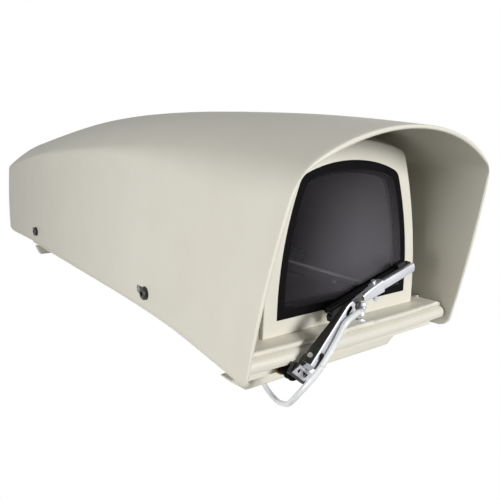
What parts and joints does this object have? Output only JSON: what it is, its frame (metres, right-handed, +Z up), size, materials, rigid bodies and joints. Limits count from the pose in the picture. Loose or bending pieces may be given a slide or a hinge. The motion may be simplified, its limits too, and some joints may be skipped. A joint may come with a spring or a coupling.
{
  "type": "security camera housing",
  "caption": "Weatherproof housing for a fixed security camera: arched sunshield over a sealed body with a window, wiper and washer, on two mounting feet.",
  "frame": {"origin": "centre of the four mounting holes, on the plane under the two feet", "axes": "+Y runs from the window to the rear along the longest side, +X is to the right seen from the front, +Z is up"},
  "size_m": [0.2, 0.6333, 0.2013],
  "materials": {
    "cream_paint": "satin powder coat",
    "anodised_aluminium": "satin",
    "zinc_steel": "zinc plated",
    "black_screws": "black",
    "cast_silver": "cast",
    "stainless": "brushed",
    "black_rubber": "matte",
    "black_plastic": "matte",
    "white_plastic": "matte",
    "clear_glass": "clear",
    "bronze": "sintered",
    "circuit_board": "satin",
    "clear_hose": "translucent"
  },
  "bodies": {
    "housing": {"cover_screws": "black_screws", "cover_spacers": "white_plastic", "base_tray": "cream_paint", "base_plate": "cream_paint", "front_foot": "cream_paint", "rear_foot": "cream_paint", "foot_screws": "zinc_steel", "inner_body": "cream_paint", "window_frame": "cream_paint", "frame_screws": "zinc_steel", "window_gasket": "black_rubber", "window_glass": "clear_glass", "plate_lock_screw": "zinc_steel", "rear_plate": "cream_paint", "rear_plate_screws": "zinc_steel", "gland_bodies": "black_plastic", "gland_caps": "black_plastic", "gland_nuts": "black_plastic", "heater": "anodised_aluminium", "thermostat": "black_plastic", "terminal_board": "circuit_board", "terminal_block": "black_plastic", "wiper_gearbox": "black_plastic", "wiper_motor": "stainless", "shaft_bush": "bronze", "shaft_gaiter": "black_rubber", "hose_outlet": "black_plastic", "washer_hose": "clear_hose", "deck_screws": "zinc_steel", "body_screws": "zinc_steel"},
    "shield": {"sunshield": "cream_paint"},
    "plate": {"camera_plate": "anodised_aluminium", "camera_screw": "zinc_steel", "plate_screws": "zinc_steel"},
    "wiper_drive": {"wiper_shaft": "stainless", "wiper_head": "cast_silver", "head_nut": "stainless", "lift_rivet": "stainless"},
    "arm": {"wiper_arm": "cast_silver", "blade_bracket": "stainless", "rock_pin": "stainless", "washer_nozzle": "stainless", "arm_hose": "clear_hose"},
    "blade": {"blade_spine": "stainless", "blade_holder": "black_plastic", "blade_rubber": "black_rubber"}
  },
  "joints": [
    {"name": "sunshield_slide", "type": "slide", "parent": "housing", "child": "shield", "axis": [0, -1, 0], "range_m": [0, 0.014]},
    {"name": "camera_plate_slide", "type": "slide", "parent": "housing", "child": "plate", "axis": [0, 1, 0], "range_m": [0, 0.03]},
    {"name": "wiper_sweep", "type": "hinge", "parent": "housing", "child": "wiper_drive", "pos_m": [-0.062, -0.2835, 0.0245], "axis": [0, -1, 0], "range_deg": [0, 60], "deforming": ["washer_hose"]},
    {"name": "arm_lift", "type": "hinge", "parent": "wiper_drive", "child": "arm", "pos_m": [-0.05347, -0.292, 0.03431], "axis": [0.7547, 0, -0.6561], "range_deg": [0, 35], "stiffness_Nm_per_rad": 0.25, "springref_deg": -12},
    {"name": "blade_rock", "type": "hinge", "parent": "arm", "child": "blade", "pos_m": [0.009, -0.2802, 0.0633], "axis": [0.2588, 0, -0.9659], "range_deg": [-11, 0]}
  ],
  "couplings": [
    {"joint": "blade_rock", "follows": "arm_lift", "ratio": -0.3}
  ]
}
